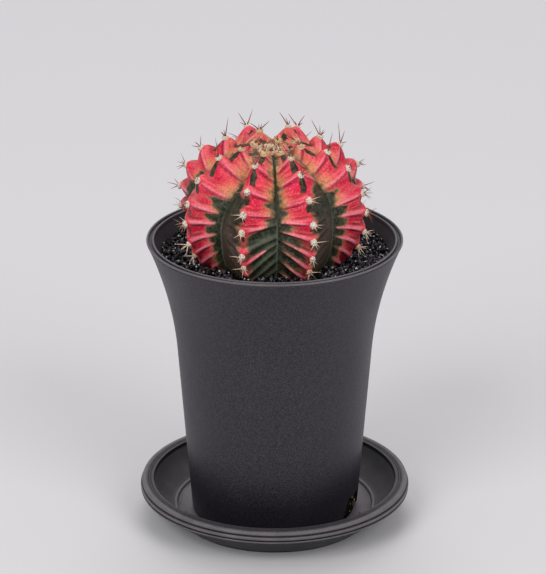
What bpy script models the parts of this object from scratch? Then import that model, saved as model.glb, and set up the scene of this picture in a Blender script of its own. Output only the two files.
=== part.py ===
"""Potted moon cactus.

A globular, eight-ribbed cactus stands in a flared plastic pot. The pot holds potting mix under a top dressing of
fine black gravel, and it rests in a round saucer. Metres, +Z up, origin on the table under the saucer's middle.
An azimuth is counted from the front, -Y, towards +X.
"""

import math

import bmesh
import bpy
import numpy as np
from mathutils import Matrix, Vector, noise

MM = 0.001
GAP = 0.3 * MM  # between pieces that touch
TURN_STEPS = 48  # facets round the pot and the saucer

# Saucer
SAUCER_RADIUS = 43.0 * MM
SAUCER_HEIGHT = 12.4 * MM
SAUCER_FLOOR_Z = 2.0 * MM
SAUCER_FLOOR_RADIUS = 31.0 * MM
SAUCER_FLOOR_RIDGE = 1.7 * MM  # the step up to the ring round the floor
SAUCER_WALL_TOP_RADIUS = 38.7 * MM
SAUCER_RIM_DROP = 3.7 * MM  # from the rim's top to its lower edge
SAUCER_FOOT_RADIUS = 31.0 * MM
SAUCER_FOOT_WIDTH = 3.2 * MM
SAUCER_RECESS = 0.5 * MM  # depth of the hollow under the floor
EDGE = 0.4 * MM  # small chamfers

# Pot: a straight taper, then a flare towards the rim
POT_FOOT_Z = SAUCER_FLOOR_Z + GAP
POT_HEIGHT = 91.5 * MM
POT_FOOT_RADIUS = 26.4 * MM
POT_TAPER = 0.078
POT_FLARE_START = 54.8 * MM  # above the pot's foot
POT_FLARE = 4.83  # extra radius per squared metre of height above the flare's start
POT_WALL = 2.3 * MM
POT_BASE = 2.4 * MM
POT_RIM_GROOVE_RADIUS = 38.6 * MM
POT_RIM_INNER_RADIUS = 37.5 * MM
DRAIN_HOLE_RADIUS = 4.0 * MM
NOTCH_AZIMUTHS = (72.0, 252.0)  # degrees
NOTCH_HEIGHT = 7.7 * MM
NOTCH_HALF_WIDTH_FOOT = 8.9 * MM
NOTCH_HALF_WIDTH_TOP = 5.5 * MM

# Potting mix and gravel
MIX_TOP_Z = 84.4 * MM
GRAVEL_BOTTOM_Z = MIX_TOP_Z + GAP
GRAVEL_TOP_Z = 89.2 * MM
GRAVEL_LUMP = 0.9 * MM
GRAVEL_LUMP_SIZE = 5.0 * MM

# Cactus body: a crest line turned round an axis, and eight ribs
BODY_RADIUS = 30.0 * MM
BODY_MIDDLE_Z = 104.8 * MM
BODY_RISE = 24.0 * MM
BODY_DROP = 26.8 * MM
BODY_SQUARENESS_TOP = 2.17  # 2 is an ellipse
BODY_SQUARENESS_BASE = 1.91
BODY_LEAN = 3.7  # degrees towards the front
BODY_SHIFT = -0.7 * MM  # along X
CROWN_DIP = 5.9 * MM
CROWN_DIP_WIDTH = 10.2 * MM
RIB_AZIMUTHS = (-107.0, -62.0, -18.0, 24.5, 73.0, 111.0, 159.0, 202.5)  # degrees
FURROW_DEPTH = 5.6 * MM
FURROW_DEPTH_BASE = 2.6 * MM
FURROW_FULL_FROM = 20.0 * MM  # along the crest from the crown
FURROW_FADES_FROM = 44.0 * MM
FURROW_FADES_TO = 66.0 * MM
FURROW_BEND = 0.9  # 1 is a plain V
CRENATION = 0.7 * MM

# Areoles: where they sit on each rib, in mm along its crest from the crown
AREOLES = (
    (6.0, 15.5, 24.5, 32.5, 40.0, 46.5, 52.5),
    (11.0, 19.0, 28.5, 36.5, 43.0, 50.0, 54.5),
    (8.5, 17.5, 27.0, 34.0, 39.5, 47.5, 52.0),
    (6.0, 14.0, 21.5, 30.0, 37.5, 43.0, 49.0, 54.5),
    (9.5, 18.0, 26.0, 35.0, 41.5, 48.0, 53.5, 58.5),
    (8.0, 16.0, 23.5, 33.0, 41.0, 48.0, 54.5),
    (5.5, 14.0, 22.5, 31.0, 39.0, 46.0, 52.5),
    (11.0, 21.5, 30.5, 38.5, 45.5, 52.0),
)
AREOLE_LOWEST_Z = 91.1 * MM  # lower ones are in the gravel
PAD_RADIUS = 1.15 * MM
SPINE_RADIUS = 0.28 * MM
SPINE_LENGTH = 7.0 * MM
SPINES_TO = 24.0 * MM  # only the areoles nearer to the crown have solid spines, and these set the height
SPINE_FAN = ((1.0, -0.5, 0.35), (1.0, -0.3, -0.5), (0.7, 0.7, 0.6), (0.7, 0.7, -0.6))  # outward, down, across
BODY_SEGMENTS_PER_RIB = 6
BODY_RINGS = 32
BODY_RINGS_EVEN = 0.75  # 1 spaces the rings evenly, and less widens them towards the base

# Roots: azimuth in degrees, reach and droop in mm
SIDE_ROOTS = ((10, 15, 17), (85, 18, 12), (150, 13, 21), (222, 17, 14), (300, 16, 19))
TAPROOT_LENGTH = 30.0 * MM
SIDE_ROOT_RADIUS = 1.5 * MM
TAPROOT_RADIUS = 4.2 * MM


def clear_scene():
    for thing in list(bpy.data.objects):
        bpy.data.objects.remove(thing, do_unlink=True)


def collection(name):
    made = bpy.data.collections.new(name)
    bpy.context.scene.collection.children.link(made)
    return made


def material(name, colour, roughness, metallic=0.0):
    made = bpy.data.materials.new(name)
    made.use_nodes = True
    shader = made.node_tree.nodes["Principled BSDF"]
    shader.inputs["Base Color"].default_value = (*colour, 1.0)
    shader.inputs["Roughness"].default_value = roughness
    shader.inputs["Metallic"].default_value = metallic
    return made


def mesh_object(name, shape, target):
    """An object made from a bmesh or a mesh, in a collection."""
    if isinstance(shape, bmesh.types.BMesh):
        mesh = bpy.data.meshes.new(name)
        bmesh.ops.recalc_face_normals(shape, faces=shape.faces)
        shape.to_mesh(mesh)
        shape.free()
    else:
        mesh = shape
    made = bpy.data.objects.new(name, mesh)
    target.objects.link(made)
    return made


def shade(piece, look):
    piece.data.materials.clear()
    piece.data.materials.append(look)
    piece.data.shade_smooth()


def hide_helper(helper):
    helper.hide_render = True
    helper.display_type = "WIRE"


def turned(name, profile, target, steps=TURN_STEPS):
    """A solid turned round the Z axis from (radius, height) points that run down the outer side."""
    outline = bmesh.new()
    points = [outline.verts.new((radius, 0.0, height)) for radius, height in profile]
    for start, end in zip(points, points[1:]):
        outline.edges.new((start, end))
    mesh = bpy.data.meshes.new(name)
    outline.to_mesh(mesh)
    outline.free()
    made = mesh_object(name, mesh, target)
    screw = made.modifiers.new("turn", "SCREW")
    screw.steps = steps
    screw.render_steps = steps
    screw.use_merge_vertices = True
    screw.merge_threshold = 0.00001
    return made


def evaluated_mesh(piece):
    """The mesh of an object with its modifiers applied and its loose points welded."""
    bpy.context.view_layer.update()
    graph = bpy.context.evaluated_depsgraph_get()
    mesh = bpy.data.meshes.new_from_object(piece.evaluated_get(graph))
    shape = bmesh.new()
    shape.from_mesh(mesh)
    bmesh.ops.remove_doubles(shape, verts=shape.verts, dist=0.00001)
    shape.to_mesh(mesh)
    shape.free()
    return mesh


def boolean(piece, operation, other, with_self=False):
    cut = piece.modifiers.new(operation.lower(), "BOOLEAN")
    cut.operation = operation
    cut.solver = "EXACT"
    cut.use_self = with_self
    cut.object = other


def around(azimuth_degrees, radius, height):
    """The point at an azimuth, counted from the front towards +X."""
    angle = math.radians(azimuth_degrees)
    return Vector((radius * math.sin(angle), -radius * math.cos(angle), height))


# Saucer


def saucer_profile():
    rim_foot = SAUCER_HEIGHT - SAUCER_RIM_DROP
    return [
        (0.0, SAUCER_FLOOR_Z),
        (SAUCER_FLOOR_RADIUS, SAUCER_FLOOR_Z),
        (SAUCER_FLOOR_RADIUS + 3 * EDGE, SAUCER_FLOOR_Z + SAUCER_FLOOR_RIDGE),
        (SAUCER_FLOOR_RADIUS + 5 * EDGE, SAUCER_FLOOR_Z + SAUCER_FLOOR_RIDGE),
        (SAUCER_WALL_TOP_RADIUS, SAUCER_HEIGHT - 3.5 * EDGE),
        (SAUCER_WALL_TOP_RADIUS + 0.5 * EDGE, SAUCER_HEIGHT - 0.5 * EDGE),
        (SAUCER_WALL_TOP_RADIUS + 4 * EDGE, SAUCER_HEIGHT),
        (SAUCER_RADIUS - 2 * EDGE, SAUCER_HEIGHT),
        (SAUCER_RADIUS, SAUCER_HEIGHT - 1.5 * EDGE),
        (SAUCER_RADIUS - EDGE, SAUCER_HEIGHT - 2.6 * EDGE),
        (SAUCER_RADIUS, SAUCER_HEIGHT - 4.5 * EDGE),
        (SAUCER_RADIUS - EDGE, rim_foot + EDGE),
        (SAUCER_RADIUS - 2 * EDGE, rim_foot),
        (SAUCER_RADIUS - 6 * EDGE, rim_foot),
        (SAUCER_FOOT_RADIUS, 0.0),
        (SAUCER_FOOT_RADIUS - SAUCER_FOOT_WIDTH, 0.0),
        (SAUCER_FOOT_RADIUS - SAUCER_FOOT_WIDTH - EDGE, SAUCER_RECESS),
        (0.0, SAUCER_RECESS),
    ]


def make_saucer(parts):
    saucer = turned("saucer", saucer_profile(), parts)
    shade(saucer, material("saucer_plastic", (0.045, 0.043, 0.047), 0.42))
    return saucer


# Pot


def pot_outer_radius(height):
    """The pot's outer radius at a height above its foot."""
    flare = max(0.0, height - POT_FLARE_START)
    return POT_FOOT_RADIUS + POT_TAPER * height + POT_FLARE * flare * flare


def pot_inner_radius(height):
    return pot_outer_radius(height) - POT_WALL


def pot_inner_heights():
    """The heights of the corners of the pot's inner wall, from the flare's start to the rim."""
    return [POT_FLARE_START] + [POT_HEIGHT * share for share in (0.7, 0.8, 0.88, 0.95)]


def pot_profile():
    outer_heights = [POT_HEIGHT * share for share in (0.97, 0.92, 0.86, 0.79, 0.71)]
    outer_heights += [POT_FLARE_START, 1.5 * MM]
    rim = [
        (POT_RIM_INNER_RADIUS, POT_HEIGHT - 3 * EDGE),
        (POT_RIM_GROOVE_RADIUS - EDGE, POT_HEIGHT),
        (POT_RIM_GROOVE_RADIUS, POT_HEIGHT - EDGE),
        (POT_RIM_GROOVE_RADIUS + EDGE, POT_HEIGHT),
        (pot_outer_radius(POT_HEIGHT) - EDGE / 2, POT_HEIGHT - EDGE),
    ]
    outside = [(pot_outer_radius(height), height) for height in outer_heights]
    foot = [
        (pot_outer_radius(0.0) - EDGE, 0.0),
        (DRAIN_HOLE_RADIUS, 0.0),
        (DRAIN_HOLE_RADIUS, POT_BASE),
        (pot_inner_radius(POT_BASE), POT_BASE),
    ]
    inside = [(pot_inner_radius(height), height) for height in pot_inner_heights()]
    loop = rim + outside + foot + inside + rim[:1]
    return [(radius, POT_FOOT_Z + height) for radius, height in loop]


def make_notch_cutter(azimuth, cutters):
    """A wedge that is wider at the pot's foot, through one side of the wall."""
    shape = bmesh.new()
    bmesh.ops.create_cube(shape, size=2.0)
    for corner in shape.verts:
        width = NOTCH_HALF_WIDTH_TOP if corner.co.z > 0 else NOTCH_HALF_WIDTH_FOOT
        height = NOTCH_HEIGHT if corner.co.z > 0 else -EDGE
        corner.co = (width * corner.co.x, 3 * POT_WALL * corner.co.y, height)
    middle = around(azimuth, POT_FOOT_RADIUS, POT_FOOT_Z)
    place = Matrix.Translation(middle) @ Matrix.Rotation(math.radians(azimuth), 4, "Z")
    bmesh.ops.transform(shape, matrix=place, verts=shape.verts)
    cutter = mesh_object(f"notch_cutter_{azimuth:.0f}", shape, cutters)
    hide_helper(cutter)
    return cutter


def make_pot(parts, cutters):
    pot = turned("pot", pot_profile(), parts)
    for azimuth in NOTCH_AZIMUTHS:
        boolean(pot, "DIFFERENCE", make_notch_cutter(azimuth, cutters))
    shade(pot, material("pot_plastic", (0.034, 0.032, 0.037), 0.62))
    return pot


# Cactus


def crest_line(count=2000):
    """Length, radius and height along a rib's crest, from the sunken crown to the base."""
    angle = np.linspace(0.0, math.pi, count)
    power = 2 / np.where(np.cos(angle) > 0, BODY_SQUARENESS_TOP, BODY_SQUARENESS_BASE)
    side = np.abs(np.sin(angle)) ** power
    rise = np.sign(np.cos(angle)) * np.abs(np.cos(angle)) ** power
    radius = BODY_RADIUS * side
    height = BODY_MIDDLE_Z + np.where(rise > 0, BODY_RISE, BODY_DROP) * rise
    height -= np.where(rise > 0, CROWN_DIP, 0.0) * np.exp(-((radius / CROWN_DIP_WIDTH) ** 2))
    steps = np.hypot(np.diff(radius), np.diff(height))
    return np.concatenate([[0.0], np.cumsum(steps)]), radius, height


LENGTHS, RADII, HEIGHTS = crest_line()
RADIUS_SLOPES = np.gradient(RADII, LENGTHS)
HEIGHT_SLOPES = np.gradient(HEIGHTS, LENGTHS)


def crest_at(along):
    """(radius, height) on the crest line, its outward normal and its tangent towards the base."""
    here = Vector((np.interp(along, LENGTHS, RADII), np.interp(along, LENGTHS, HEIGHTS)))
    tangent = Vector((np.interp(along, LENGTHS, RADIUS_SLOPES), np.interp(along, LENGTHS, HEIGHT_SLOPES)))
    tangent.normalize()
    return here, Vector((-tangent.y, tangent.x)), tangent


def smooth_step(low, high, value):
    share = min(1.0, max(0.0, (value - low) / (high - low)))
    return share * share * (3 - 2 * share)


def furrow_depth(along):
    opening = smooth_step(0.0, FURROW_FULL_FROM, min(along, LENGTHS[-1] - along))
    fade = smooth_step(FURROW_FADES_FROM, FURROW_FADES_TO, along)
    return opening * (FURROW_DEPTH + fade * (FURROW_DEPTH_BASE - FURROW_DEPTH))


def areole_number(rib, along):
    """A count along a rib that is a whole number at each areole."""
    places = [place * MM for place in AREOLES[rib]]
    spacing = places[-1] - places[-2]
    places += [places[-1] + spacing, places[-1] + 2 * spacing]
    return np.interp(along, places, range(len(places)))


def rib_azimuth(count):
    """The azimuth in degrees at a count round the body: whole on a crest, half in a furrow."""
    rib = math.floor(count)
    azimuths = RIB_AZIMUTHS
    turns, index = divmod(rib, len(azimuths))
    start = azimuths[index] + 360.0 * turns
    turns, index = divmod(rib + 1, len(azimuths))
    end = azimuths[index] + 360.0 * turns
    return start + (end - start) * (count - rib)


def lean(direction):
    """A direction turned as the whole body leans."""
    return Matrix.Rotation(math.radians(BODY_LEAN), 3, "X") @ direction


def place_body(point):
    """The point's place once the body leans and stands in the gravel."""
    pivot = Vector((0.0, 0.0, GRAVEL_TOP_Z))
    return pivot + lean(point - pivot) + Vector((BODY_SHIFT, 0.0, 0.0))


def body_point(count, along, swell=0.0):
    """A point of the body's skin, at a count round it and a length along its crest."""
    rib = round(count)
    across = 2 * abs(count - rib)
    here, normal, _ = crest_at(along)
    wave = math.sin(2 * math.pi * areole_number(rib % len(RIB_AZIMUTHS), along))
    outward = swell - furrow_depth(along) * across**FURROW_BEND
    outward += CRENATION * wave * (1 - across) ** 2 * smooth_step(0.0, FURROW_FULL_FROM, along)
    here = here + normal * outward
    return place_body(around(rib_azimuth(count), max(0.0, here.x), here.y))


def body_shape(swell=0.0):
    """A sphere whose points are moved to the body's skin."""
    shape = bmesh.new()
    ribs = len(RIB_AZIMUTHS)
    bmesh.ops.create_uvsphere(
        shape, u_segments=ribs * BODY_SEGMENTS_PER_RIB, v_segments=BODY_RINGS, radius=1.0
    )
    for point in shape.verts:
        share = math.acos(max(-1.0, min(1.0, point.co.z))) / math.pi
        along = LENGTHS[-1] * (BODY_RINGS_EVEN * share + (1 - BODY_RINGS_EVEN) * share**3)
        count = round(math.atan2(point.co.y, point.co.x) / math.tau * ribs * BODY_SEGMENTS_PER_RIB)
        point.co = body_point(count / BODY_SEGMENTS_PER_RIB, along, swell)
    bmesh.ops.triangulate(shape, faces=shape.faces, quad_method="FIXED")
    return shape


def areole_frame(rib, along):
    """The areole's middle, with the directions outward, down the rib and across it."""
    here, normal, tangent = crest_at(along)
    azimuth = RIB_AZIMUTHS[rib]
    outward = lean(around(azimuth, normal.x, normal.y))
    down = lean(around(azimuth, tangent.x, tangent.y))
    return place_body(around(azimuth, here.x, here.y)), outward, down, outward.cross(down)


def add_pad(shape, middle, turn):
    made = bmesh.ops.create_uvsphere(shape, u_segments=5, v_segments=3, radius=PAD_RADIUS)
    bmesh.ops.transform(shape, matrix=Matrix.Translation(middle) @ turn, verts=made["verts"])


def add_spine(shape, start, direction):
    turn = direction.to_track_quat("Z", "Y").to_matrix().to_4x4()
    lift = Matrix.Translation((0.0, 0.0, SPINE_LENGTH / 2))
    made = bmesh.ops.create_cone(
        shape, cap_ends=True, segments=3, radius1=SPINE_RADIUS, radius2=0.0, depth=SPINE_LENGTH
    )
    bmesh.ops.transform(shape, matrix=Matrix.Translation(start) @ turn @ lift, verts=made["verts"])


def make_areoles(cutters):
    """Every areole's woolly pad and the crown's spines, as one helper that is joined to the body."""
    shape = bmesh.new()
    for rib, place in ((rib, place) for rib, places in enumerate(AREOLES) for place in places):
        along = place * MM
        middle, outward, down, across = areole_frame(rib, along)
        if middle.z < AREOLE_LOWEST_Z:
            continue
        add_pad(shape, middle, outward.to_track_quat("Z", "Y").to_matrix().to_4x4())
        for parts_of in SPINE_FAN if along < SPINES_TO else ():
            direction = (parts_of[0] * outward + parts_of[1] * down + parts_of[2] * across).normalized()
            add_spine(shape, middle, direction)
    helper = mesh_object("areole_helper", shape, cutters)
    hide_helper(helper)
    return helper


def make_roots(name, swell, cutters):
    """The taproot and the side roots as tapering tubes, thicker and longer by the swell."""
    curve = bpy.data.curves.new(name, "CURVE")
    curve.dimensions = "3D"
    curve.bevel_depth = 1.0
    curve.bevel_resolution = 1
    curve.resolution_u = 3
    curve.use_fill_caps = True
    base_z = BODY_MIDDLE_Z - BODY_DROP
    taproot = [
        (Vector((0.0, 0.0, base_z + TAPROOT_RADIUS)), TAPROOT_RADIUS),
        (Vector((0.4 * MM, 0.0, base_z - 0.3 * TAPROOT_LENGTH)), 0.6 * TAPROOT_RADIUS),
        (Vector((-0.6 * MM, 0.8 * MM, base_z - TAPROOT_LENGTH - swell)), 0.2 * TAPROOT_RADIUS),
    ]
    routes = [taproot]
    for azimuth, reach, droop in SIDE_ROOTS:
        start_z = base_z - 2 * MM
        routes.append(
            [
                (around(azimuth, SIDE_ROOT_RADIUS, start_z), SIDE_ROOT_RADIUS),
                (around(azimuth + 6, 0.6 * reach * MM, start_z - 0.3 * droop * MM), 0.75 * SIDE_ROOT_RADIUS),
                (around(azimuth, reach * MM + swell, start_z - droop * MM - swell), 0.35 * SIDE_ROOT_RADIUS),
            ]
        )
    for route in routes:
        spline = curve.splines.new("BEZIER")
        spline.bezier_points.add(len(route) - 1)
        for point, (place, radius) in zip(spline.bezier_points, route):
            point.co = place
            point.handle_left_type = "AUTO"
            point.handle_right_type = "AUTO"
            point.radius = radius + swell
    tube = bpy.data.objects.new(name + "_curve", curve)
    cutters.objects.link(tube)
    helper = mesh_object(name, evaluated_mesh(tube), cutters)
    bpy.data.objects.remove(tube, do_unlink=True)
    hide_helper(helper)
    return helper


def make_cactus(parts, cutters):
    cactus = mesh_object("cactus", body_shape(), parts)
    boolean(cactus, "UNION", make_roots("root_helper", 0.0, cutters), with_self=True)
    boolean(cactus, "UNION", make_areoles(cutters), with_self=True)
    shade(cactus, material("cactus_skin", (0.62, 0.05, 0.09), 0.45))
    return cactus


# Potting mix and gravel


def make_mix(parts, cutters, body_room):
    """The mix fills the pot up to the gravel, with room for the cactus's underside and roots."""
    low = POT_BASE + GAP
    high = MIX_TOP_Z - POT_FOOT_Z
    heights = [low] + [height for height in pot_inner_heights() if height < high] + [high]
    profile = [(0.0, low)] + [(pot_inner_radius(height) - GAP, height) for height in heights]
    profile = [(0.0, high)] + profile[:0:-1] + profile[:1]
    mix = turned("potting_mix", [(radius, POT_FOOT_Z + height) for radius, height in profile], parts)
    boolean(mix, "DIFFERENCE", body_room)
    boolean(mix, "DIFFERENCE", make_roots("root_room", 1.4 * GAP, cutters), with_self=True)
    shade(mix, material("potting_mix", (0.05, 0.032, 0.02), 0.95))
    return mix


def make_gravel(parts, cutters, body_room):
    """An uneven layer between the pot's wall and the cactus."""
    low = GRAVEL_BOTTOM_Z - POT_FOOT_Z
    high = GRAVEL_TOP_Z - POT_FOOT_Z
    outer = pot_inner_radius(high) - GAP
    inner = 0.45 * outer
    rings = [inner + (outer - inner) * share for share in (0.0, 0.25, 0.5, 0.75, 1.0)]
    profile = [(0.0, high)]
    profile += [(radius, high) for radius in rings]
    profile += [(pot_inner_radius(low) - GAP, low), (0.0, low)]
    blank = turned("gravel_blank", [(radius, POT_FOOT_Z + height) for radius, height in profile], cutters)
    mesh = evaluated_mesh(blank)
    bpy.data.objects.remove(blank, do_unlink=True)
    for point in mesh.vertices:
        if point.co.z > GRAVEL_TOP_Z - EDGE and point.co.xy.length < outer - EDGE:
            point.co.z += GRAVEL_LUMP * noise.noise(point.co / GRAVEL_LUMP_SIZE)
    gravel = mesh_object("gravel_top_dressing", mesh, parts)
    boolean(gravel, "DIFFERENCE", body_room)
    shade(gravel, material("black_gravel", (0.012, 0.012, 0.014), 0.7))
    return gravel


def main():
    clear_scene()
    parts = collection("potted_moon_cactus")
    cutters = collection("cutters")
    make_saucer(parts)
    make_pot(parts, cutters)
    body_room = mesh_object("body_room", body_shape(GAP), cutters)
    hide_helper(body_room)
    make_mix(parts, cutters, body_room)
    make_gravel(parts, cutters, body_room)
    make_cactus(parts, cutters)


main()
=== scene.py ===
"""Looks of the potted moon cactus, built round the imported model.

Metres, +Z up, origin on the table under the saucer's middle. Azimuths count from the front, -Y, towards +X.
"""

import math

import bmesh
import bpy
import numpy as np
from mathutils import Matrix, Vector, noise
from mathutils.bvhtree import BVHTree


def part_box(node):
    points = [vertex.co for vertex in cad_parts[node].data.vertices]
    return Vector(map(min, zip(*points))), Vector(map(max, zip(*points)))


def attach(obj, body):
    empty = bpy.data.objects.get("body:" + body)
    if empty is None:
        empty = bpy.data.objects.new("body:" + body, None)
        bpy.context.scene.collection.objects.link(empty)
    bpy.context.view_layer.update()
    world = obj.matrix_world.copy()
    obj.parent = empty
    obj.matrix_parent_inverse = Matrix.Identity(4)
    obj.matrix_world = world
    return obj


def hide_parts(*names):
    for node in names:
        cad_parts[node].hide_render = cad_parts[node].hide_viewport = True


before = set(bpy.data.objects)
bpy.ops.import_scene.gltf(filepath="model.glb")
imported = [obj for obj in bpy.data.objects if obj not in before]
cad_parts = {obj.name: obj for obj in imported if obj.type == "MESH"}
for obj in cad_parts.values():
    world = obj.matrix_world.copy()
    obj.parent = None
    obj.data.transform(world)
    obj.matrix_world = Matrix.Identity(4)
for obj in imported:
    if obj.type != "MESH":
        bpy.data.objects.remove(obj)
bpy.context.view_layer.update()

MM = 0.001
TAU = 2 * math.pi

# Camera: the photograph's viewing angle
CAMERA_PLACE = (-0.00053, -0.8921, 0.4323)
CAMERA_ELEVATION = 21.704  # degrees above the horizon
CAMERA_LENS = 192.13  # mm on a 36 mm sensor

# Pot and saucer
TURN_STEPS = 256
SHARP_EDGE = math.radians(38)
POT_FOOT_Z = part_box("pot")[0].z
POT_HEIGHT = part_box("pot")[1].z - POT_FOOT_Z
POT_FOOT_RADIUS = 26.4 * MM
POT_TAPER = 0.078
POT_FLARE_START = 54.8 * MM
POT_FLARE = 4.83
POT_WALL = 2.3 * MM
POT_BASE = 2.4 * MM
POT_RIM_GROOVE_RADIUS = 38.75 * MM
POT_RIM_GROOVE_HALF_WIDTH = 0.45 * MM
POT_RIM_INNER_RADIUS = 37.5 * MM
DRAIN_HOLE_RADIUS = 4.0 * MM
NOTCH_AZIMUTHS = (72.0, 252.0)
NOTCH_HEIGHT = 7.7 * MM
NOTCH_UNDERCUT = 0.4 * MM
NOTCH_HALF_WIDTH_FOOT = 8.9 * MM
NOTCH_HALF_WIDTH_TOP = 5.5 * MM
SAUCER_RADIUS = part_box("saucer")[1].x
SAUCER_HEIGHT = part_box("saucer")[1].z
SAUCER_FLOOR_Z = 2.0 * MM
SAUCER_FLOOR_RADIUS = 31.0 * MM
SAUCER_WALL_TOP_RADIUS = 38.7 * MM
SAUCER_RIM_GROOVES = (39.8 * MM, 40.5 * MM)
SAUCER_FOOT_RADIUS = 31.0 * MM
SAUCER_FOOT_WIDTH = 3.2 * MM
SAUCER_RECESS = 0.5 * MM

# Gravel: how often a place is tried, heights of the middles over GRAVEL_TOP_Z and radii in mm, and the spread
GRAVEL_BOTTOM_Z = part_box("gravel_top_dressing")[0].z
GRAVEL_TOP_Z = 89.2 * MM
UNDER_GRAINS = (9000, (-2.0, -1.2), (0.65, 1.0), 0.8)
TOP_GRAINS = (14000, (-0.9, 0.35), (0.56, 0.88), 0.86)
NOTCH_CRUMBS = 130
FLOOR_CRUMBS = 12

# Cactus body: the crest line and the ribs
BODY_RADIUS = 30.0 * MM
BODY_MIDDLE_Z = 104.8 * MM
BODY_RISE = 24.0 * MM
BODY_DROP = 26.8 * MM
BODY_SQUARENESS_TOP = 2.17
BODY_SQUARENESS_BASE = 1.91
BODY_LEAN = 3.7  # degrees towards the front
BODY_SHIFT = -0.7 * MM  # along X
CROWN_DIP = 5.9 * MM
CROWN_DIP_WIDTH = 10.2 * MM
RIB_AZIMUTHS = (-107.0, -62.0, -18.0, 24.5, 73.0, 111.0, 159.0, 202.5)
RIBS = len(RIB_AZIMUTHS)
FRONT_RIBS = (2, 3)
FURROW_DEPTH = 5.6 * MM
FURROW_DEPTH_BASE = 2.6 * MM
FURROW_FULL_FROM = 20.0 * MM
FURROW_FADES_FROM = 44.0 * MM
FURROW_FADES_TO = 66.0 * MM
FURROW_BEND_TOP = 1.15  # over 1 the rib's sides bulge
FURROW_BEND_BASE = 0.92
CROWDED_FURROW = 9.0  # degrees that the furrow after the rib at -62 turns towards the next rib, high up
CREST_ROUNDING = 0.07  # share of the half width between a crest and a furrow

# Areoles: where they sit on each rib, in mm along its crest from the crown
AREOLES = (
    (6.0, 15.5, 24.5, 32.5, 40.0, 46.5, 52.5),
    (11.0, 19.0, 28.5, 36.5, 43.0, 50.0, 54.5),
    (8.5, 17.5, 27.0, 34.0, 39.5, 47.5, 52.0),
    (6.0, 14.0, 21.5, 30.0, 37.5, 43.0, 49.0, 54.5),
    (9.5, 18.0, 26.0, 35.0, 41.5, 48.0, 53.5, 58.5),
    (8.0, 16.0, 23.5, 33.0, 41.0, 48.0, 54.5),
    (5.5, 14.0, 22.5, 31.0, 39.0, 46.0, 52.5),
    (11.0, 21.5, 30.5, 38.5, 45.5, 52.0),
)
AREOLE_LOWEST_Z = 90.2 * MM
APEX_AREOLES = 9
PAD_SHAPE = (0.98, 1.12, 0.78)  # half its size across the rib, down it and outward, in mm
FIBRES = 26  # of wool, on each areole
FIBRE_STARTS = (0.85, 0.97, 0.65)  # where they leave the pad, as its shape
FIBRE_RADII = (0.05, 0.04, 0.0)

# Spines, each as its turn from straight down in degrees, its lift off the skin and its length in mm
YOUNG_SPINES_TO = 10.0 * MM
YOUNG_FAN = ((160, 0.93, 4.8), (-140, 0.95, 3.4), (60, 0.95, 2.4))
CROWN_SPINES_TO = 24.0 * MM
CROWN_FAN = ((125, 0.8, 6.4), (-130, 0.82, 5.8), (75, 0.85, 2.8), (-70, 0.85, 2.6), (10, 0.8, 2.4))
FRONT_FANS = {
    2: ((-88, 0.32, 4.4), (-48, 0.45, 2.9), (4, 0.5, 3.0), (42, 0.45, 2.7), (84, 0.5, 1.8)),
    3: ((88, 0.32, 4.4), (48, 0.45, 2.9), (4, 0.5, 3.0), (-42, 0.45, 2.7), (-84, 0.5, 1.8)),
}
SIDE_FAN = ((-118, 0.72, 4.3), (118, 0.72, 4.1), (-52, 0.7, 3.4), (52, 0.7, 3.5), (0, 0.6, 3.8))
SPINES_TOP_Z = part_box("cactus")[1].z
SPINE_STEPS = 8
SPINE_SIDES = 6

# The body's mesh
COLUMNS_PER_RIB = 48
FINE_ROWS = 212
COARSE_ROWS = 14
FINE_TO = 66.0 * MM  # along the crest, a little below the gravel's top

# Roots: azimuth in degrees, reach and droop in mm
SIDE_ROOTS = ((10, 15, 17), (85, 18, 12), (150, 13, 21), (222, 17, 14), (300, 16, 19))
TAPROOT_LENGTH = 30.0 * MM
SIDE_ROOT_RADIUS = 1.5 * MM
TAPROOT_RADIUS = 4.2 * MM


# Numbers and shapes


def smooth_step(low, high, value):
    share = np.clip((value - low) / (high - low), 0.0, 1.0)
    return share * share * (3 - 2 * share)


def past(length, low, high):
    """0 to 1 as a length goes from one number of millimetres to the other."""
    return smooth_step(low * MM, high * MM, length)


def blend(first, second, share):
    return first + (second - first) * share


def wave(corners, blur):
    """A periodic curve through (phase, height) corners, softened over a share of its period."""
    steps = 512
    phases = np.arange(steps) / steps
    heights = np.interp(phases, [c[0] for c in corners], [c[1] for c in corners], period=1.0)
    distance = np.minimum(phases, 1 - phases)
    window = np.exp(-0.5 * (distance / blur) ** 2)
    spectrum = np.fft.rfft(heights) * np.fft.rfft(window / window.sum())
    softened = np.fft.irfft(spectrum, steps)
    return lambda phase: np.interp(phase % 1.0, phases, softened, period=1.0)


def pulse(phase, middle, width):
    """1 at a phase, falling to 0 over a width on both sides, once each period."""
    distance = np.abs((phase - middle + 0.5) % 1.0 - 0.5)
    return np.exp(-((distance / width) ** 2))


def around(azimuth_degrees, radius, height):
    """The point at an azimuth, counted from the front towards +X."""
    angle = math.radians(azimuth_degrees)
    return Vector((radius * math.sin(angle), -radius * math.cos(angle), height))


def noise_at(points, size, seed=0.0):
    """Smooth noise from -1 to 1 at each point, with lumps of that size."""
    offset = Vector((seed * 7.31, seed * 3.17, seed * 5.23))
    flat = np.asarray(points).reshape(-1, 3) / size
    values = [noise.noise(Vector(p) + offset) for p in flat]
    return np.array(values).reshape(np.asarray(points).shape[:-1])


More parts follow.
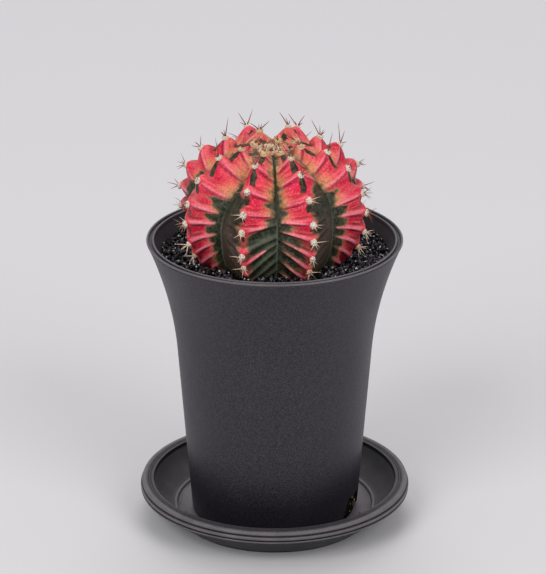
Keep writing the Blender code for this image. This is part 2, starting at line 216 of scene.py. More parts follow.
class Bunch:
    """Shapes gathered into one mesh, with named values for their points."""

    def __init__(self):
        self.points, self.faces, self.values, self.count = [], [], {}, 0

    def add(self, points, faces, **values):
        self.points.append(np.asarray(points, float))
        self.faces += [[index + self.count for index in face] for face in faces]
        for name, value in values.items():
            filled = np.broadcast_to(np.asarray(value, float), (len(points),))
            self.values.setdefault(name, []).append(filled)
        self.count += len(points)

    def piece(self, name, smooth=True):
        values = {key: np.concatenate(parts) for key, parts in self.values.items()}
        return mesh_piece(name, np.concatenate(self.points), self.faces, values, smooth)


def placed(name, data):
    """A new object of the scene."""
    made = bpy.data.objects.new(name, data)
    bpy.context.scene.collection.objects.link(made)
    return made


def write_values(mesh, name, values):
    layer = mesh.attributes.new(name, "FLOAT", "POINT")
    layer.data.foreach_set("value", np.asarray(values, np.float32).ravel())


def read_vectors(rows, field):
    """One vector of each element, such as a vertex's place, as the rows of an array."""
    flat = np.empty(3 * len(rows), np.float32)
    rows.foreach_get(field, flat)
    return flat.reshape(-1, 3)


def mesh_piece(name, points, faces, values=None, smooth=True):
    """An object from points and faces, with a named value for each point where given."""
    mesh = bpy.data.meshes.new(name)
    mesh.from_pydata(points.tolist(), [], [list(map(int, face)) for face in faces])
    for key, value in (values or {}).items():
        write_values(mesh, key, value)
    if smooth:
        mesh.shade_smooth()
    return placed(name, mesh)


def grid_faces(rows, columns):
    """Quads that join rows of points, each row closed on itself."""
    row, column = np.meshgrid(np.arange(rows - 1), np.arange(columns), indexing="ij")
    here, below = row * columns, (row + 1) * columns
    right = (column + 1) % columns
    return np.stack((here + column, below + column, below + right, here + right), axis=-1).reshape(-1, 4)


def points_and_faces(shape):
    """What a bmesh holds, as arrays. It is freed."""
    points = np.array([tuple(vertex.co) for vertex in shape.verts])
    faces = [[vertex.index for vertex in face.verts] for face in shape.faces]
    shape.free()
    return points, faces


def ball(subdivisions):
    """Points and faces of a round ball of radius 1."""
    shape = bmesh.new()
    bmesh.ops.create_icosphere(shape, subdivisions=subdivisions, radius=1.0)
    return points_and_faces(shape)


def applied(made):
    """The object with its modifiers applied to its mesh."""
    bpy.context.view_layer.update()
    graph = bpy.context.evaluated_depsgraph_get()
    mesh = bpy.data.meshes.new_from_object(made.evaluated_get(graph))
    made.modifiers.clear()
    made.data = mesh
    return made


def remeshed(name, node, voxel_size):
    """The solid of a CAD node as a new object, in small even faces."""
    made = placed(name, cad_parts[node].data.copy())
    remesh = made.modifiers.new("grain", "REMESH")
    remesh.mode = "VOXEL"
    remesh.voxel_size = voxel_size
    return applied(made)


def displace(made, shift_at):
    """Moves every point of the object's mesh by the shift found for all its points and normals."""
    mesh = made.data
    points = read_vectors(mesh.vertices, "co")
    points = points + shift_at(points, read_vectors(mesh.vertex_normals, "vector"))
    mesh.vertices.foreach_set("co", points.astype(np.float32).ravel())
    mesh.update()


def show(piece, look, slot, *nodes):
    """Finishes a piece: its material, its body, and the CAD nodes that it stands for, which it hides. The
    slot is not used.
    """
    piece.data.materials.clear()
    piece.data.materials.append(look)
    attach(piece, "root")
    if nodes:
        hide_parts(*nodes)


# Materials


def linear(red, green, blue):
    """A colour given in screen values from 0 to 255, as the shader takes it."""
    shares = [value / 255 for value in (red, green, blue)]
    return (*[s / 12.92 if s <= 0.04045 else ((s + 0.055) / 1.055) ** 2.4 for s in shares], 1.0)


class Look:
    """A material, with short ways to add its nodes. Any input takes an output, a number, a colour as three
    screen values, or the name of a value that the mesh's points carry."""

    def __init__(self, name, roughness, specular):
        self.material = bpy.data.materials.new(name)
        self.material.use_nodes = True
        self.tree = self.material.node_tree
        self.shader = self.tree.nodes["Principled BSDF"]
        self.shader.inputs["Roughness"].default_value = roughness
        self.shader.inputs["Specular IOR Level"].default_value = specular
        self.place = self.node("TexCoord", "Object", {})

    def feed(self, socket, value):
        if isinstance(value, str):
            value = self.node("Attribute", "Fac", {}, attribute_name=value)
        if isinstance(value, bpy.types.NodeSocket):
            self.tree.links.new(value, socket)
        else:
            socket.default_value = linear(*value) if isinstance(value, tuple) else value

    def node(self, kind, output, inputs, **settings):
        node = self.tree.nodes.new("ShaderNode" + kind)
        for name, value in settings.items():
            setattr(node, name, value)
        for name, value in inputs.items():
            self.feed(node.inputs[name], value)
        return node.outputs[output]

    def noise(self, size, detail=3.0, roughness=0.5):
        inputs = {"Vector": self.place, "Scale": 1 / size, "Detail": detail, "Roughness": roughness}
        return self.node("TexNoise", "Fac", inputs)

    def math(self, operation, *numbers):
        return self.node("Math", "Value", dict(enumerate(numbers)), operation=operation)

    def between(self, value, low, high, to_low=0.0, to_high=1.0):
        """The value's smooth rise from one bound to the other, clamped."""
        inputs = dict(enumerate((value, low, high, to_low, to_high)))
        return self.node("MapRange", "Result", inputs, interpolation_type="SMOOTHSTEP")

    def mix(self, share, first, second):
        """A colour between two; sockets 6, 7 and 2 are the node's colour ones."""
        return self.node("Mix", 2, {0: share, 6: first, 7: second}, data_type="RGBA")

    def bump(self, height, distance, strength=1.0):
        return self.node("Bump", "Normal", {"Height": height, "Distance": distance, "Strength": strength})

    def finish(self, colour, roughness=None, normal=None):
        for name, value in (("Base Color", colour), ("Roughness", roughness), ("Normal", normal)):
            if value is not None:
                self.feed(self.shader.inputs[name], value)
        return self.material


def plastic_look(name, dark, light, pale, roughness, specular, grain):
    """Moulded plastic with a fine matt grain and specks, lighter where a mesh's points carry dust and painted
    light, and darker where they carry painted shade.
    """
    look = Look(name, roughness, specular)
    fine = look.noise(grain, 2.0, 0.6)
    specks = look.between(look.noise(grain * 0.9, 1.0), 0.62, 0.74)
    patches = look.noise(18 * MM)
    unevenness = look.between(look.noise(6 * MM, 3.0, 0.6), 0.35, 0.65, 0.34, 0.43)
    colour = look.mix(look.between(patches, 0.35, 0.65), dark, light)
    colour = look.mix(look.between(fine, 0.38, 0.62, 0.0, 0.5), colour, pale)
    # Lighter where the mesh carries it: painted highlights on the rims, dust in the saucer and a paler upper
    # wall inside the pot.
    colour = look.mix(look.math("MULTIPLY", "dust_and_painted_light", unevenness), colour, (112, 108, 112))
    colour = look.mix(look.math("MULTIPLY", specks, 0.35), colour, (92, 88, 94))
    # Painted shade at the pot's foot.
    colour = look.mix(look.math("MULTIPLY", "painted_foot_shade", 0.7), colour, (8, 6, 14))
    rough = look.between(patches, 0.3, 0.7, roughness - 0.03, roughness + 0.04)
    return look.finish(colour, rough, look.bump(fine, 0.1 * MM, 0.8))


def skin_look():
    """The plant's variegated skin: red over green, by where a point lies on its rib, with painted highlights
    and painted shade on its folds.
    """
    look = Look("cactus_skin", 0.5, 0.24)
    fine = look.noise(0.5 * MM, 2.0, 0.6)
    ragged = look.noise(1.1 * MM, 4.0, 0.7)
    broad = look.noise(6.0 * MM, 3.0, 0.55)
    grain = look.math("MULTIPLY_ADD", ragged, 4.4, -2.2)

    red = look.mix(look.between(broad, 0.38, 0.62), (206, 4, 56), (228, 28, 70))
    # pale and peach are partly painted light on the faces that rise to each ridge, deep is partly painted
    # shade under each ridge, and ridge is mostly a painted highlight along it.
    for share, shade in (
        ("pale", (238, 108, 106)),
        ("peach", (206, 150, 98)),
        ("deep", (158, 0, 52)),
        ("ridge", (246, 146, 160)),
        (look.between(fine, 0.52, 0.7, 0.0, 0.36), (250, 150, 138)),
        (look.between(fine, 0.48, 0.32, 0.0, 0.4), (150, 0, 40)),
        (look.between(ragged, 0.52, 0.66, 0.0, 0.3), (176, 0, 48)),
    ):
        red = look.mix(share, red, shade)
    olive_field = look.math("ADD", "olive", look.math("MULTIPLY", grain, 0.5))
    red = look.mix(look.between(olive_field, -1.0, 1.4), red, (128, 112, 44))

    green = look.mix(look.between(ragged, 0.4, 0.62), (22, 24, 15), (60, 64, 45))
    # light is painted light on upward faces, and the dusty pink ridges are lighter on their upper faces as
    # painted highlight.
    for share, shade in (
        ("light", (118, 126, 106)),
        ("brown", (74, 56, 47)),
        (look.math("MULTIPLY", look.between(fine, 0.56, 0.7), 0.5), (104, 108, 88)),
        ("dusty_pink_and_highlight", (186, 98, 102)),
        ("line", (96, 108, 98)),
    ):
        green = look.mix(share, green, shade)
    green_field = look.math("ADD", "green", grain)
    colour = look.mix(look.between(green_field, -1.9, 0.3), red, (146, 112, 76))
    colour = look.mix(look.between(green_field, -1.0, 1.0), colour, green)

    dark = look.mix(look.between(ragged, 0.42, 0.6), (26, 22, 15), (76, 70, 48))
    seam_field = look.math("MULTIPLY_ADD", "seam", 2.4, look.math("MULTIPLY_ADD", grain, 0.4, -1.2))
    stripe_field = look.math("ADD", "stripe", look.math("MULTIPLY", grain, 0.9))
    colour = look.mix(look.between(seam_field, -0.4, 0.5), colour, (40, 40, 18))
    colour = look.mix(look.between(stripe_field, -0.4, 0.4), colour, dark)
    # Painted shade under the ridges and in the creases between the lobes.
    colour = look.mix(look.math("MULTIPLY", "dark", 0.72), colour, (20, 4, 10))

    look.shader.inputs["Subsurface Weight"].default_value = 0.04
    look.shader.inputs["Subsurface Radius"].default_value = (1.0, 0.35, 0.25)
    look.shader.inputs["Subsurface Scale"].default_value = 1.0 * MM
    return look.finish(colour, look.between(ragged, 0.3, 0.7, 0.42, 0.58), look.bump(fine, 0.06 * MM, 0.6))


def wool_look():
    look = Look("areole_wool", 0.92, 0.15)
    fibre = look.noise(0.22 * MM, 3.0, 0.7)
    colour = look.mix(look.between(fibre, 0.35, 0.65), (186, 172, 152), (246, 240, 228))
    colour = look.mix("tan", colour, (214, 170, 118))
    colour = look.mix("core", colour, (58, 46, 38))
    look.shader.inputs["Sheen Weight"].default_value = 0.25
    return look.finish(colour, None, look.bump(fibre, 0.12 * MM, 0.9))


def spine_look():
    look = Look("spine_horn", 0.55, 0.25)
    share = look.between(look.noise(0.5 * MM, 2.0), 0.35, 0.65)
    pale = look.mix(share, (214, 184, 156), (236, 214, 192))
    return look.finish(look.mix("rust", pale, look.mix(share, (98, 38, 18), (142, 68, 36))))


def gravel_look():
    look = Look("black_gravel", 0.18, 0.8)
    fine = look.noise(0.5 * MM, 4.0, 0.6)
    colour = look.mix("tone", (3, 2, 3), (92, 88, 98))
    colour = look.mix(look.between(fine, 0.64, 0.74, 0.0, 0.5), colour, (112, 112, 120))
    return look.finish(colour, look.between(fine, 0.3, 0.7, 0.07, 0.18), look.bump(fine, 0.03 * MM, 0.6))


def mix_look():
    look = Look("potting_mix", 0.95, 0.2)
    crumbs = look.noise(1.6 * MM, 5.0, 0.7)
    colour = look.mix(look.between(crumbs, 0.35, 0.65), (26, 20, 15), (70, 52, 36))
    colour = look.mix(look.between(look.noise(0.9 * MM, 1.0), 0.68, 0.74), colour, (170, 150, 120))
    return look.finish(colour, None, look.bump(crumbs, 0.5 * MM))


def crumb_look():
    """Loose grains of the mix: bark, pumice and perlite by their tone."""
    look = Look("mix_crumbs", 0.95, 0.08)
    fine = look.noise(0.5 * MM)
    colour = look.mix("tone", (17, 14, 12), (206, 184, 150))
    colour = look.mix(look.between(fine, 0.5, 0.7, 0.0, 0.06), colour, (96, 70, 46))
    return look.finish(colour, None, look.bump(fine, 0.1 * MM, 0.8))


def root_look():
    look = Look("root_bark", 0.85, 0.25)
    fibres = look.noise(0.8 * MM, 4.0, 0.65)
    colour = look.mix(look.between(fibres, 0.35, 0.65), (120, 92, 62), (176, 146, 106))
    return look.finish(colour, None, look.bump(fibres, 0.2 * MM, 0.8))


# Pot and saucer


def arc(middle, radius, start, end, count):
    """Points of an arc in the (radius, height) plane, with angles in degrees from straight out."""
    angles = np.radians(np.linspace(start, end, count))
    return [(middle[0] + radius * math.cos(a), middle[1] + radius * math.sin(a)) for a in angles]


def turned(name, profile, closed):
    """A mesh turned round the Z axis from (radius, height) points that run down the outer side."""
    angles = TAU * np.arange(TURN_STEPS) / TURN_STEPS
    rows = [
        np.stack([radius * np.sin(angles), -radius * np.cos(angles), np.full(TURN_STEPS, height)], axis=-1)
        for radius, height in profile
    ]
    if closed:
        rows.append(rows[0])
    made = mesh_piece(name, np.concatenate(rows), grid_faces(len(rows), TURN_STEPS))
    shape = bmesh.new()
    shape.from_mesh(made.data)
    bmesh.ops.remove_doubles(shape, verts=shape.verts, dist=0.002 * MM)
    bmesh.ops.recalc_face_normals(shape, faces=shape.faces)
    shape.to_mesh(made.data)
    shape.free()
    made.data.shade_smooth()
    made.data.set_sharp_from_angle(angle=SHARP_EDGE)
    return made


def mark(made, name, value_at):
    """Gives each point of a mesh a named value found from its distance to the axis and its height."""
    points = read_vectors(made.data.vertices, "co")
    write_values(made.data, name, value_at(np.hypot(points[:, 0], points[:, 1]), points[:, 2]))


def pot_highlights_and_pale_wall(radius, height):
    """How much lighter the pot's plastic is: painted highlights on the two bands of its rim, and a little
    lighter inside the pot.
    """
    height = height - POT_FOOT_Z
    on_top = smooth_step(POT_HEIGHT - 0.9 * MM, POT_HEIGHT - 0.5 * MM, height)
    off_groove = past(np.abs(radius - POT_RIM_GROOVE_RADIUS) - POT_RIM_GROOVE_HALF_WIDTH, 0.0, 0.1)
    inside = radius < pot_outer_radius(height) - 1.6 * MM
    inside = inside * smooth_step(0.6 * POT_HEIGHT, 0.8 * POT_HEIGHT, height)
    return np.maximum(1.6 * on_top * off_groove, 0.6 * inside)


def pot_foot_shade(radius, height):
    """Painted shade: 1 at the pot's foot, where its plastic is painted darkest, fading out up the wall."""
    return smooth_step(POT_FOOT_Z + 26 * MM, POT_FOOT_Z + 4 * MM, height)


def saucer_dust_and_painted_light(radius, height):
    """How much lighter the saucer is: painted highlights on its rim's bands, dust on its floor and wall, and
    dust with a painted highlight on the ring between these.
    """
    below = SAUCER_HEIGHT - height
    on_lip = past(radius - SAUCER_WALL_TOP_RADIUS, -0.2, 0.4)
    # The rim's bands get painted highlights.
    on_rim = 0.4 * on_lip + 0.6 * past(radius - SAUCER_RIM_GROOVES[1], 0.0, 0.6)
    on_rim = on_rim * past(below, 3.7, 3.4)
    gaps = [np.abs(radius - groove) + below for groove in SAUCER_RIM_GROOVES]
    gaps += [np.abs(below - drop) + 0.1 * (SAUCER_RADIUS - radius) for drop in (1.3 * MM, 2.8 * MM)]
    on_rim = on_rim * past(np.minimum.reduce(gaps), 0.12, 0.4)
    under_wall = 0.7 * MM + 0.9 * (radius - SAUCER_FOOT_RADIUS)
    inside = (radius < SAUCER_WALL_TOP_RADIUS) & (height > np.maximum(SAUCER_FLOOR_Z - 0.1 * MM, under_wall))
    up_wall = smooth_step(SAUCER_FLOOR_Z + 0.5 * MM, SAUCER_HEIGHT - 2.0 * MM, height)
    # The ring's band: partly dust, partly a painted highlight on its rounded top.
    ring = np.exp(-(((radius - SAUCER_FLOOR_RADIUS - 0.9 * MM) / (0.8 * MM)) ** 2))
    on_floor = radius < SAUCER_FLOOR_RADIUS - 0.1 * MM
    dust = inside * np.maximum.reduce([1.8 - 0.8 * up_wall, 3.2 * ring, 2.7 * on_floor])
    return np.maximum(1.9 * on_rim, dust)


def pot_outer_radius(height):
    flare = np.maximum(0.0, height - POT_FLARE_START)
    return POT_FOOT_RADIUS + POT_TAPER * height + POT_FLARE * flare * flare


def pot_profile():
    """The pot's section: two bands and a groove at the rim, then the outer wall, the base and the inside."""
    top = POT_HEIGHT
    lip = pot_outer_radius(top)
    bead = 0.32 * MM
    inner = POT_RIM_INNER_RADIUS
    groove_in = POT_RIM_GROOVE_RADIUS - POT_RIM_GROOVE_HALF_WIDTH
    groove_out = POT_RIM_GROOVE_RADIUS + POT_RIM_GROOVE_HALF_WIDTH
    points = [(inner - 0.1 * MM, top - 1.5 * MM), (inner, top - 1.1 * MM)]
    points += arc((inner + 0.4 * MM, top - 0.4 * MM), 0.38 * MM, 185, 45, 8)
    points += [(groove_in, top - 0.35 * MM), (groove_in + 0.08 * MM, top - 0.75 * MM)]
    points += [(groove_out - 0.08 * MM, top - 0.75 * MM), (groove_out, top - 0.35 * MM)]
    points += arc((lip - bead - 0.05 * MM, top - bead), bead, 140, -35, 9)
    points += [(lip - 0.5 * MM, top - 0.7 * MM), (lip - 0.56 * MM, top - 0.95 * MM)]
    flared = np.linspace(top - 1.15 * MM, POT_FLARE_START, 30)
    straight = np.linspace(POT_FLARE_START, 0.5 * MM, 12)[1:]
    points += [(pot_outer_radius(height), height) for height in (*flared, *straight)]
    points += arc((pot_outer_radius(0.0) - 0.4 * MM, 0.4 * MM), 0.4 * MM, -10, -90, 5)
    points += [(DRAIN_HOLE_RADIUS + 0.3 * MM, 0.0), (DRAIN_HOLE_RADIUS, 0.3 * MM)]
    points += [(DRAIN_HOLE_RADIUS, POT_BASE - 0.3 * MM), (DRAIN_HOLE_RADIUS + 0.3 * MM, POT_BASE)]
    inside = pot_outer_radius(POT_BASE) - POT_WALL
    points += [(inside - 0.8 * MM, POT_BASE), (inside, POT_BASE + 0.8 * MM)]
    heights = np.linspace(POT_BASE + 2 * MM, top - 4.5 * MM, 32)
    points += [(pot_outer_radius(height) - POT_WALL, height) for height in heights]
    return [(radius, POT_FOOT_Z + height) for radius, height in points]


def cut_notch(pot, azimuth):
    """Cuts a drain notch, wider at the foot, through one side of the pot's wall."""
    shape = bmesh.new()
    bmesh.ops.create_cube(shape, size=2.0)
    for corner in shape.verts:
        upper = corner.co.z > 0
        width = NOTCH_HALF_WIDTH_TOP if upper else NOTCH_HALF_WIDTH_FOOT
        height = NOTCH_HEIGHT if upper else -NOTCH_UNDERCUT
        corner.co = (width * corner.co.x, 3 * POT_WALL * corner.co.y, height)
    place = Matrix.Translation(around(azimuth, POT_FOOT_RADIUS, POT_FOOT_Z))
    place = place @ Matrix.Rotation(math.radians(azimuth), 4, "Z")
    bmesh.ops.transform(shape, matrix=place, verts=shape.verts)
    mesh = bpy.data.meshes.new("notch")
    shape.to_mesh(mesh)
    shape.free()
    cutter = placed("notch", mesh)
    cut = pot.modifiers.new("notch", "BOOLEAN")
    cut.operation = "DIFFERENCE"
    cut.solver = "EXACT"
    cut.object = cutter
    applied(pot)
    bpy.data.objects.remove(cutter, do_unlink=True)


def make_pot():
    pot = turned("pot_shell", pot_profile(), closed=True)
    for azimuth in NOTCH_AZIMUTHS:
        cut_notch(pot, azimuth)
    pot.data.set_sharp_from_angle(angle=SHARP_EDGE)
    # Painted highlights on the rim bands and a paler upper inner wall.
    mark(pot, "dust_and_painted_light", pot_highlights_and_pale_wall)
    # Painted shade at the foot.
    mark(pot, "painted_foot_shade", pot_foot_shade)
    look = plastic_look("pot_plastic", (25, 21, 29), (29, 25, 33), (63, 58, 67), 0.45, 0.42, 0.45 * MM)
    show(pot, look, "pot_plastic", "pot")


def saucer_profile():
    """The saucer's section: floor, ring, wall, a rim of two round bands and a lip, foot and recess."""

    def rim(inward, down):
        """A point that many millimetres in from the saucer's widest and under its top."""
        return SAUCER_RADIUS - inward * MM, SAUCER_HEIGHT - down * MM

    top, low, edge = SAUCER_HEIGHT, SAUCER_FLOOR_Z, SAUCER_FLOOR_RADIUS
    points = [(radius * MM, low) for radius in (0, 6, 12, 18, 24, 27.5)]
    points += [(edge - 1.5 * MM, low + 0.3 * MM), (edge, low + 0.8 * MM)]
    ring = edge + 0.8 * MM
    points += arc((ring, low + 0.95 * MM), 0.6 * MM, 155, -5, 9)
    wall_end = (SAUCER_WALL_TOP_RADIUS - 0.2 * MM, top - 1.5 * MM)
    wall_start = (ring + 0.8 * MM, low + 0.95 * MM)
    for share in np.linspace(0, 1, 9):
        sag = 0.35 * MM * math.sin(math.pi * share)
        points.append((
            blend(wall_start[0], wall_end[0], share) + sag,
            blend(wall_start[1], wall_end[1], share) - sag,
        ))
    points += [(SAUCER_WALL_TOP_RADIUS, top - 1.1 * MM)]
    points += arc((SAUCER_WALL_TOP_RADIUS + 0.25 * MM, top - 0.35 * MM), 0.25 * MM, 200, 60, 6)
    groove_section = ((-0.18, 0.1), (0, 0.25), (0.18, 0.1))
    for groove in SAUCER_RIM_GROOVES:
        points += [(groove + out * MM, top - down * MM) for out, down in groove_section]
    points += arc(rim(1.25, 0.75), 0.75 * MM, 105, -25, 11) + [rim(0.72, 1.3)]
    points += arc(rim(0.7, 2.05), 0.7 * MM, 55, -45, 9) + [rim(0.6, 2.8)]
    points += arc(rim(0.45, 3.25), 0.34 * MM, 75, -60, 6) + [rim(1.2, 3.75), rim(2.4, 3.9)]
    under = rim(2.8, 4.1)
    for share in np.linspace(0, 1, 9):
        bulge = 0.5 * MM * math.sin(math.pi * share)
        radius = blend(under[0], SAUCER_FOOT_RADIUS + 0.2 * MM, share) + 0.6 * bulge
        points.append((radius, under[1] * (1 - share) + 0.3 * MM * share - 0.5 * bulge))
    inner = SAUCER_FOOT_RADIUS - SAUCER_FOOT_WIDTH
    points += [(SAUCER_FOOT_RADIUS, 0.0), (inner, 0.0), (inner - 0.1 * MM, 0.1 * MM)]
    points += [(inner - 0.3 * MM, SAUCER_RECESS - 0.1 * MM), (inner - 0.6 * MM, SAUCER_RECESS)]
    return points + [(radius * MM, SAUCER_RECESS) for radius in (20, 12, 6, 0)]


def make_saucer():
    saucer = turned("saucer_shell", saucer_profile(), closed=False)
    # Painted highlights on the rim, dust on the floor, wall and ring.
    mark(saucer, "dust_and_painted_light", saucer_dust_and_painted_light)
    look = plastic_look("saucer_plastic", (13, 11, 14), (16, 14, 17), (31, 29, 32), 0.36, 0.22, 0.5 * MM)
    show(saucer, look, "saucer_plastic", "saucer")


# Cactus body


def crest_line(count=4000):
    """Length, radius and height along a rib's crest, from the sunken crown to the base."""
    angle = np.linspace(0.0, math.pi, count)
    power = 2 / np.where(np.cos(angle) > 0, BODY_SQUARENESS_TOP, BODY_SQUARENESS_BASE)
    side = np.abs(np.sin(angle)) ** power
    rise = np.sign(np.cos(angle)) * np.abs(np.cos(angle)) ** power
    radius = BODY_RADIUS * side
    height = BODY_MIDDLE_Z + np.where(rise > 0, BODY_RISE, BODY_DROP) * rise
    height -= np.where(rise > 0, CROWN_DIP, 0.0) * np.exp(-((radius / CROWN_DIP_WIDTH) ** 2))
    steps = np.hypot(np.diff(radius), np.diff(height))
    return np.concatenate([[0.0], np.cumsum(steps)]), radius, height


LENGTHS, RADII, HEIGHTS = crest_line()
RADIUS_SLOPES = np.gradient(RADII, LENGTHS)
HEIGHT_SLOPES = np.gradient(HEIGHTS, LENGTHS)

# Along a crest from one areole to the next: the slope under the areole, the notch, then the next knob
CREST_WAVE = wave(
    ((0.0, 0.0), (0.1, -0.1), (0.55, -1.0), (0.62, -0.98), (0.76, -0.02), (0.86, 0.12), (0.95, 0.08)), 0.022
)
# Down a rib's side: the ridge, the steep drop under it, then a slow rise to the next ridge
SIDE_WAVE = wave(
    ((0.0, 0.0), (0.03, -0.12), (0.15, -0.95), (0.24, -1.0), (0.55, -0.68), (0.85, -0.2), (0.97, 0.02)), 0.02
)


def crest_at(along):
    """(radius, height) on the crest line, its outward normal and its tangent towards the base."""
    curves = (RADII, HEIGHTS, RADIUS_SLOPES, HEIGHT_SLOPES)
    radius, height, radius_slope, height_slope = (np.interp(along, LENGTHS, curve) for curve in curves)
    here = np.stack([radius, height], axis=-1)
    tangent = np.stack([radius_slope, height_slope], axis=-1)
    tangent /= np.linalg.norm(tangent, axis=-1, keepdims=True)
    normal = np.stack([-tangent[..., 1], tangent[..., 0]], axis=-1)
    return here, normal, tangent


def furrow_depth(along):
    opening = smooth_step(0.0, FURROW_FULL_FROM, np.minimum(along, LENGTHS[-1] - along))
    fade = smooth_step(FURROW_FADES_FROM, FURROW_FADES_TO, along)
    return opening * blend(FURROW_DEPTH, FURROW_DEPTH_BASE, fade)


def ridge_climb(along):
    """How far a ridge climbs towards the crown on its way from the crest to the furrow."""
    return -1.0 * MM + 8.5 * MM * past(along, 30, 52)


def areole_number(rib, along):
    """A count along a rib that is a whole number at each areole, and runs on past its first and last."""
    number = np.zeros_like(along)
    for index, places in enumerate(AREOLES):
        first, last = places[1] - places[0], places[-1] - places[-2]
        above = [places[0] - first * k for k in (3, 2, 1)]
        below = [places[-1] + last * k for k in (1, 2, 3, 4, 5, 6)]
        knots = np.array([*above, *places, *below]) * MM
        number = np.where(rib == index, np.interp(along, knots, np.arange(len(knots))), number)
    return number


def folds_to_furrow(rib, side):
    """1 on the two sides whose ridges run on into the furrow low down, and 0 on the others."""
    return np.where(((rib == 2) & (side > 0)) | ((rib == 3) & (side < 0)), 1.0, 0.0)


def rib_places(count):
    """The rib, the signed share across to its furrow and the azimuth, by counts that are whole on crests."""
    rib = np.rint(count).astype(int)
    side = 2 * (count - rib)
    azimuths = np.concatenate([RIB_AZIMUTHS, [RIB_AZIMUTHS[0] + 360.0]])
    azimuth = np.interp(count % RIBS, np.arange(RIBS + 1), azimuths)
    return rib % RIBS, side, azimuth


def lean(directions):
    """Directions turned as the whole body leans."""
    turn = np.array(Matrix.Rotation(math.radians(BODY_LEAN), 3, "X"))
    return directions @ turn.T


def place_body(points):
    """The points' places once the body leans and stands in the gravel."""
    pivot = np.array([0.0, 0.0, GRAVEL_TOP_Z])
    return pivot + lean(points - pivot) + np.array([BODY_SHIFT, 0.0, 0.0])


def skin(count, along):
    """Points of the skin at counts round the body and lengths down its crest, and what its colours need."""
    rib, side, azimuth = rib_places(count)
    over_furrow = np.clip(1 - np.abs(count - 1.5) * 2, 0, 1)
    high_up = np.exp(-(((along - 22 * MM) / (12 * MM)) ** 2))
    angle = np.radians(azimuth + CROWDED_FURROW * smooth_step(0, 1, over_furrow) * high_up)
    across = np.abs(side)
    phase = areole_number(rib, along + ridge_climb(along) * across)

    rounded = np.sqrt(across**2 + CREST_ROUNDING**2) - CREST_ROUNDING
    rounded /= math.sqrt(1 + CREST_ROUNDING**2) - CREST_ROUNDING
    outward = -furrow_depth(along) * rounded ** blend(FURROW_BEND_TOP, FURROW_BEND_BASE, past(along, 24, 46))

    awake = past(along, 2, 12) * (1 - past(along, 66, 74))
    near_crest = np.exp(-((across / (0.4 + 0.06 * past(along, 30, 44))) ** 4))
    lowest = np.where(np.isin(rib, FRONT_RIBS), 1.0, 1.35) * MM
    crest_depth = blend((2.3 - 0.5 * past(along, 24, 34)) * MM, lowest, past(along, 44, 56))
    folded = folds_to_furrow(rib, side)
    side_depth = (1.0 + 0.35 * past(along, 32, 46) * folded) * MM
    reach = 1.0 - 0.38 * past(along, 28, 36) * (1 - folded)
    near_furrow = smooth_step(0.66 * reach, reach, across)
    outward += awake * crest_depth * near_crest * CREST_WAVE(phase)
    outward += awake * side_depth * (1 - near_crest) * (1 - near_furrow) * SIDE_WAVE(phase)
    here, normal, _ = crest_at(along)
    spot = here + normal * outward[..., None]
    radius = np.maximum(0.0, spot[..., 0])
    points = np.stack([radius * np.sin(angle), -radius * np.cos(angle), spot[..., 1]], axis=-1)
    width = np.maximum(here[..., 0], 4 * MM) * math.pi / RIBS
    where = {"rib": rib, "side": side, "across": across, "phase": phase, "along": along, "width": width}
    return place_body(points), where


# Where green begins on a side of a rib, as shares across from the crest to the furrow: at the crown, low down
# between two ridges, and low down on a ridge; then the lengths along the crest between which it widens
GREEN_SIDES = {
    (1, 1): (1.06, 0.64, 0.8, 21, 36),
    (2, -1): (1.06, 0.14, 0.16, 20, 32),
    (2, 1): (0.9, 0.10, 0.20, 34, 43),
    (3, -1): (0.9, 0.2, 0.64, 33, 46),
    (3, 1): (1.06, 0.13, 0.15, 19, 30),
    (4, -1): (1.06, 0.66, 0.86, 21, 37),
}
GREEN_ELSEWHERE = (1.06, 0.48, 0.68, 22, 38)


def green_start(where):
    """The share across a rib at which its green begins."""
    start = np.ones_like(where["across"])
    on_ridge = pulse(where["phase"], 0.9, 0.17) + 0.7 * pulse(where["phase"], 0.04, 0.09)
    for rib in range(RIBS):
        for side in (-1, 1):
            crown, between, ridge, opens, opened = GREEN_SIDES.get((rib, side), GREEN_ELSEWHERE)
            low = blend(between, ridge, np.clip(on_ridge, 0, 1))
            here = (where["rib"] == rib) & (np.where(where["side"] < 0, -1, 1) == side)
            start = np.where(here, blend(crown, low, past(where["along"], opens, opened)), start)
    return start


